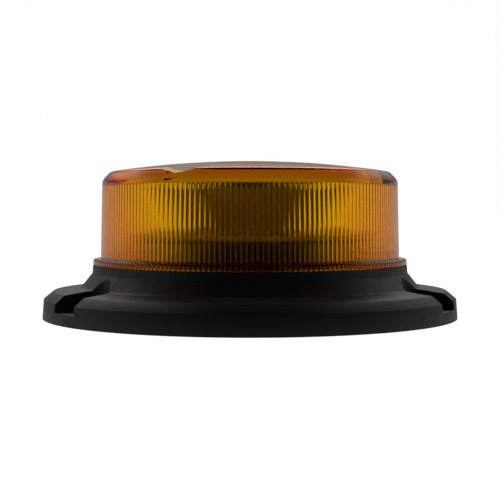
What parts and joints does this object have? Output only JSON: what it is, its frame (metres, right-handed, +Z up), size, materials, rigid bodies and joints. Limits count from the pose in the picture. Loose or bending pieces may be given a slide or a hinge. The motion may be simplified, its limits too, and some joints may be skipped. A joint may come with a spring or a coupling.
{
  "type": "led warning beacon",
  "caption": "Low-profile amber warning beacon: fluted lens with a shallow dome over a ring of light sources and a trumpet reflector, on a round flange base with open bolt channels.",
  "frame": {"origin": "centre of the underside, on the plane that the flange rests on", "axes": "+Z up through the dome; one bolt channel opens towards +Y"},
  "size_m": [0.16, 0.16, 0.0598],
  "materials": {
    "housing_plastic": "fine moulded texture, matte black",
    "cover_plastic": "matte black",
    "seal_rubber": "matte",
    "vent_plastic": "matte grey",
    "amber_lens": "clear amber polycarbonate, polished outside",
    "seal_silicone": "matte",
    "heat_sink_metal": "grey anodised, satin",
    "thermal_pad": "matte grey silicone",
    "led_board": "pale solder mask on a bare aluminium core",
    "led_phosphor": "clear resin over amber phosphor",
    "reflector_metal": "vacuum metallised",
    "cap_plastic": "satin metallised",
    "driver_board": "green solder mask",
    "connector_plastic": "cream nylon",
    "capacitor_sleeve": "shrink sleeve",
    "inductor_body": "grey ferrite",
    "chip_resin": "black epoxy",
    "screw_steel": "zinc plated"
  },
  "bodies": {
    "root": {"base_housing": "housing_plastic", "bottom_cover": "cover_plastic", "mounting_gasket": "seal_rubber", "cover_gasket": "seal_rubber", "cable_grommet": "seal_rubber", "breather_vent": "vent_plastic", "lens": "amber_lens", "lens_seal": "seal_silicone", "heat_sink": "heat_sink_metal", "thermal_pad": "thermal_pad", "led_board": "led_board", "reflector": "reflector_metal", "reflector_cover": "cap_plastic", "driver_board": "driver_board", "board_link_header": "connector_plastic", "input_connector": "connector_plastic", "capacitor_1": "capacitor_sleeve", "capacitor_2": "capacitor_sleeve", "inductor": "inductor_body", "regulator_1": "chip_resin", "regulator_2": "chip_resin", "microcontroller": "chip_resin", "reverse_diode": "chip_resin", "led_01": "led_phosphor", "led_02": "led_phosphor", "led_03": "led_phosphor", "led_04": "led_phosphor", "led_05": "led_phosphor", "led_06": "led_phosphor", "led_07": "led_phosphor", "led_08": "led_phosphor", "led_09": "led_phosphor", "led_10": "led_phosphor", "led_11": "led_phosphor", "led_12": "led_phosphor", "cover_screw_1": "screw_steel", "cover_screw_2": "screw_steel", "cover_screw_3": "screw_steel", "cover_screw_4": "screw_steel", "cover_screw_5": "screw_steel", "cover_screw_6": "screw_steel", "heat_sink_screw_1": "screw_steel", "heat_sink_screw_2": "screw_steel", "heat_sink_screw_3": "screw_steel", "driver_board_screw_1": "screw_steel", "driver_board_screw_2": "screw_steel", "driver_board_screw_3": "screw_steel", "reflector_screw_1": "screw_steel", "reflector_screw_2": "screw_steel", "reflector_screw_3": "screw_steel"}
  },
  "joints": []
}
